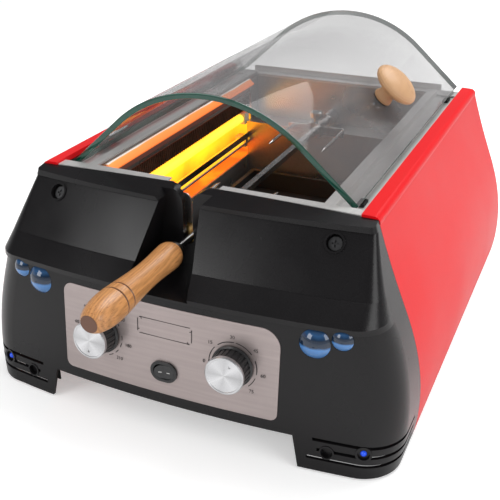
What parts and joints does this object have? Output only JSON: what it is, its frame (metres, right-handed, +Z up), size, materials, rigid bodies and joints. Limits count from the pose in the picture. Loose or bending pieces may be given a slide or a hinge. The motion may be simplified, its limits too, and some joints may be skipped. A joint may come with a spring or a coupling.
{
  "type": "rotisserie oven",
  "caption": "Table-top rotisserie oven with a hinged curved glass lid, a driven spit with forks and a wooden handle, a side heater, and a front panel with dials and a switch.",
  "frame": {"origin": "middle of the overall box, at the bottom of the feet", "axes": "+Z up, +Y from the front with the controls to the rear, +X to the right seen from the front"},
  "size_m": [0.3856, 0.5378, 0.2677],
  "materials": {
    "black_moulding": "semi-gloss black",
    "red_paint": "glossy red lacquer on pressed steel",
    "black_steel": "satin black",
    "black_plastic": "fine satin",
    "zinc_sheet": "zinc plated sheet",
    "foot_rubber": "matt",
    "cream_ceramic": "unglazed",
    "brushed_plate": "fine brushed, anodised",
    "spun_cap": "spun, polished rim",
    "plated_steel": "bright plated",
    "rocker_plastic": "polished black",
    "blue_lens": "tinted lens over a lamp",
    "led_blue": "lit blue diode",
    "chamber_steel": "bright rolled sheet",
    "tray_steel": "non-stick coating",
    "reflector_steel": "polished",
    "quartz": "frosted tube lit from inside",
    "hot_wire": "glowing coil",
    "element_wire": "wound resistance wire",
    "handle_wood": "clear varnish",
    "knob_wood": "clear varnish",
    "dark_metal": "dark plated",
    "bearing_brass": "turned",
    "lid_glass": "clear tempered, green at the edges"
  },
  "bodies": {
    "casing": {"base_plate": "zinc_sheet", "chamber_liner": "chamber_steel", "control_plate": "brushed_plate", "drip_tray": "tray_steel", "front_moulding": "black_moulding", "front_screws": "plated_steel", "heater_coils": "hot_wire", "heater_guard": "plated_steel", "heater_holders": "cream_ceramic", "heater_lip": "chamber_steel", "heater_reflector": "reflector_steel", "heater_tubes": "quartz", "heater_winding": "element_wire", "hinge_brackets": "plated_steel", "hinge_pins": "plated_steel", "hinge_wall": "black_plastic", "lens_large": "blue_lens", "lens_small": "blue_lens", "lid_pads": "foot_rubber", "liner_supports": "zinc_sheet", "mode_switch": "black_plastic", "power_inlet": "black_plastic", "rear_panel": "black_steel", "rubber_feet": "foot_rubber", "side_panel_left": "red_paint", "side_panel_right": "red_paint", "spit_bearing": "bearing_brass", "spit_motor": "plated_steel", "terminal_block": "cream_ceramic", "thermostat_body": "cream_ceramic", "timer_body": "plated_steel", "top_frame": "chamber_steel", "vent_lights": "led_blue"},
    "lid": {"lid_glass": "lid_glass", "lid_hinges": "plated_steel", "lid_knob": "knob_wood", "lid_knob_washer": "foot_rubber", "lid_knob_screw": "plated_steel"},
    "temperature_dial": {"temperature_knob": "black_plastic", "temperature_cap": "spun_cap", "temperature_shaft": "plated_steel"},
    "timer_dial": {"timer_knob": "black_plastic", "timer_cap": "spun_cap", "timer_shaft": "plated_steel"},
    "rocker": {"mode_rocker": "rocker_plastic"},
    "drive": {"drive_socket": "plated_steel"},
    "spit": {"spit_shaft": "plated_steel", "spit_handle": "handle_wood", "handle_ferrule": "dark_metal"},
    "front_fork": {"fork_front": "plated_steel"},
    "rear_fork": {"fork_rear": "plated_steel"},
    "front_screw": {"fork_screw_front": "plated_steel"},
    "rear_screw": {"fork_screw_rear": "plated_steel"}
  },
  "joints": [
    {"name": "lid_hinge", "type": "hinge", "parent": "casing", "child": "lid", "pos_m": [-0.1336, 0.077, 0.1955], "axis": [0, -1, 0], "range_deg": [0, 85]},
    {"name": "temperature_knob", "type": "hinge", "parent": "casing", "child": "temperature_dial", "pos_m": [-0.06, -0.18236, 0.08], "axis": [-0.0478, -0.9939, 0.0995], "range_deg": [-270, 0]},
    {"name": "timer_knob", "type": "hinge", "parent": "casing", "child": "timer_dial", "pos_m": [0.06, -0.18236, 0.08], "axis": [0.0478, -0.9939, 0.0995], "range_deg": [-300, 0]},
    {"name": "mode_rocker", "type": "hinge", "parent": "casing", "child": "rocker", "pos_m": [0, -0.18282, 0.0597], "axis": [0, 0.0995, 0.995], "range_deg": [-16, 0]},
    {"name": "spit_drive", "type": "hinge", "parent": "casing", "child": "drive", "pos_m": [-0.007, 0.217, 0.15], "axis": [0, 1, 0], "continuous": true},
    {"name": "spit_pull", "type": "slide", "parent": "drive", "child": "spit", "axis": [0, -1, 0], "range_m": [0, 0.02]},
    {"name": "fork_front_slide", "type": "slide", "parent": "spit", "child": "front_fork", "axis": [0, 1, 0], "range_m": [0, 0.05]},
    {"name": "fork_rear_slide", "type": "slide", "parent": "spit", "child": "rear_fork", "axis": [0, -1, 0], "range_m": [0, 0.05]},
    {"name": "front_thumbscrew", "type": "hinge", "parent": "front_fork", "child": "front_screw", "pos_m": [-0.007, -0.067, 0.16], "axis": [0, 0, 1], "continuous": true},
    {"name": "rear_thumbscrew", "type": "hinge", "parent": "rear_fork", "child": "rear_screw", "pos_m": [-0.007, 0.181, 0.16], "axis": [0, 0, 1], "continuous": true}
  ]
}
